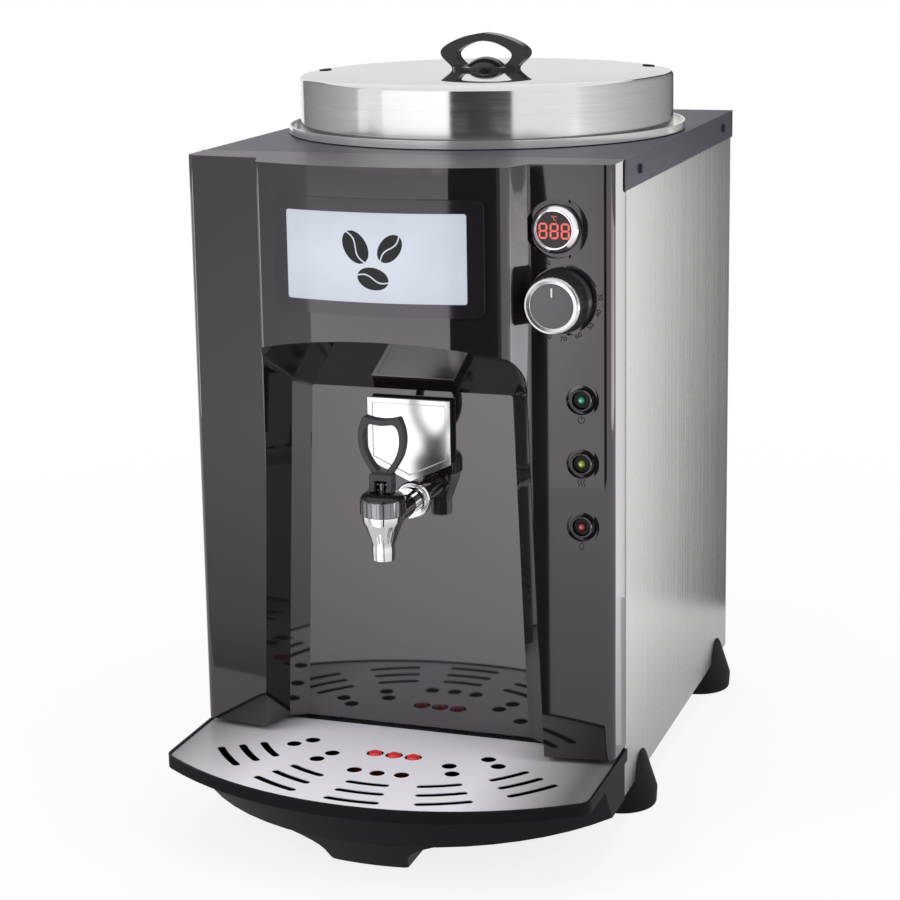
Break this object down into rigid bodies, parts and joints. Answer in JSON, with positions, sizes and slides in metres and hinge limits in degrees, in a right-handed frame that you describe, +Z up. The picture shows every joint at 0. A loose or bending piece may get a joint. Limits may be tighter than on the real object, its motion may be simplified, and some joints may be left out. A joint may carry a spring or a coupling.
{
  "type": "coffee urn",
  "caption": "Countertop coffee urn with a lidded tank in a steel casing, a moulded front with a lit panel and dial, a push-lever tap in an alcove and a slotted drip tray.",
  "frame": {"origin": "centre of the footprint, on the counter", "axes": "+X to the right as seen from the front, +Y to the back, +Z up; the tap and drip tray face -Y"},
  "size_m": [0.3522, 0.5544, 0.5908],
  "materials": {
    "galvanised_sheet": "dull zinc-coated sheet",
    "panel_steel": "vertically brushed stainless steel",
    "cover_paint": "satin dark violet-grey",
    "black_screws": "black oxide",
    "foot_rubber": "matte black",
    "zinc_hardware": "zinc plated",
    "charcoal_plastic": "glossy charcoal",
    "frame_plastic": "glossy charcoal",
    "lit_acrylic": "backlit, cool white",
    "circuit_board": "green board",
    "black_plastic": "black",
    "bright_trim": "bright",
    "display_glass": "dark lens with plain red digits",
    "green_lens": "lit green",
    "amber_lens": "lit yellow-green",
    "red_lens": "red",
    "cream_plastic": "cream",
    "plated_brass": "plated",
    "copper_tube": "copper",
    "knob_plastic": "black with fine ribs",
    "cap_plastic": "mid grey with a white pointer",
    "tank_steel": "bright stainless steel",
    "seal_rubber": "dark silicone",
    "lagging_wool": "glass wool",
    "heater_metal": "heat-tinted",
    "red_rubber": "red silicone",
    "bonnet_trim": "knurled, black over chrome",
    "seat_silicone": "white silicone",
    "spring_steel": "stainless wire",
    "lever_plastic": "grey",
    "lid_steel": "bright brushed stainless steel",
    "grip_plastic": "black",
    "boss_plastic": "black",
    "tray_plastic": "satin black",
    "grille_steel": "cool brushed stainless steel",
    "float_red": "red"
  },
  "bodies": {
    "urn": {"base_plate": "galvanised_sheet", "left_side_panel": "panel_steel", "right_side_panel": "panel_steel", "back_panel": "galvanised_sheet", "front_sheet": "galvanised_sheet", "top_cover": "cover_paint", "casing_screws": "black_screws", "feet": "foot_rubber", "foot_bolts": "zinc_hardware", "front_moulding": "charcoal_plastic", "moulding_screws": "zinc_hardware", "panel_frame": "frame_plastic", "lit_panel": "lit_acrylic", "light_board": "circuit_board", "badge_backing": "black_plastic", "badge_plate": "bright_trim", "display_bezel": "bright_trim", "display_case": "black_plastic", "display_window": "display_glass", "lamp_bezels": "bright_trim", "lamp_lens_green": "green_lens", "lamp_lens_amber": "amber_lens", "lamp_lens_red": "red_lens", "lamp_bodies": "black_plastic", "thermostat_body": "cream_plastic", "capillary_bulb": "copper_tube", "tank": "tank_steel", "rim_gasket": "seal_rubber", "tank_lagging": "lagging_wool", "band_heater": "heater_metal", "tank_stand": "galvanised_sheet", "cutout_thermostat": "black_plastic", "terminal_block": "cream_plastic", "control_board": "circuit_board", "cable_gland": "black_plastic", "gland_nut": "black_plastic", "outlet_pipe": "tank_steel", "union_nut": "plated_brass", "tap_body": "bright_trim", "tap_rosette": "bright_trim", "shank_washer": "red_rubber", "shank_nut": "plated_brass", "tap_bonnet": "bonnet_trim", "stem_spring": "spring_steel", "tray_guides": "black_plastic"},
    "stem": {"tap_stem": "zinc_hardware", "seat_cup": "seat_silicone"},
    "lever": {"tap_lever": "lever_plastic", "lever_pin": "zinc_hardware"},
    "lid": {"lid_shell": "lid_steel", "lid_handle": "grip_plastic", "lid_boss": "boss_plastic"},
    "knob": {"thermostat_spindle": "plated_brass", "knob_skirt": "knob_plastic", "knob_rings": "bright_trim", "knob_cap": "cap_plastic"},
    "tray": {"drip_tray": "tray_plastic"},
    "grille": {"tray_grille": "grille_steel"},
    "float": {"tray_float": "float_red"}
  },
  "joints": [
    {"name": "stem_lift", "type": "slide", "parent": "urn", "child": "stem", "axis": [0, 0, 1], "range_m": [0, 0.002], "stiffness_N_per_m": 400, "springref_m": -0.003, "deforming": ["stem_spring"]},
    {"name": "lever_tilt", "type": "hinge", "parent": "stem", "child": "lever", "pos_m": [0, -0.18445, 0.279], "axis": [1, 0, 0], "range_deg": [0, 35]},
    {"name": "lid_lift", "type": "slide", "parent": "urn", "child": "lid", "axis": [0, 0, 1], "range_m": [0, 0.12]},
    {"name": "knob_turn", "type": "hinge", "parent": "urn", "child": "knob", "pos_m": [0.1273, -0.15245, 0.4155], "axis": [0, 1, 0], "range_deg": [0, 300]},
    {"name": "tray_pull", "type": "slide", "parent": "urn", "child": "tray", "axis": [0, -1, 0], "range_m": [0, 0.12]},
    {"name": "grille_lift", "type": "slide", "parent": "tray", "child": "grille", "axis": [0, 0, 1], "range_m": [0, 0.003]},
    {"name": "float_rise", "type": "slide", "parent": "tray", "child": "float", "axis": [0, 0, 1], "range_m": [0, 0.005]}
  ],
  "couplings": [
    {"joint": "lever_tilt", "follows": "stem_lift", "rad_per_m": 305.43}
  ]
}
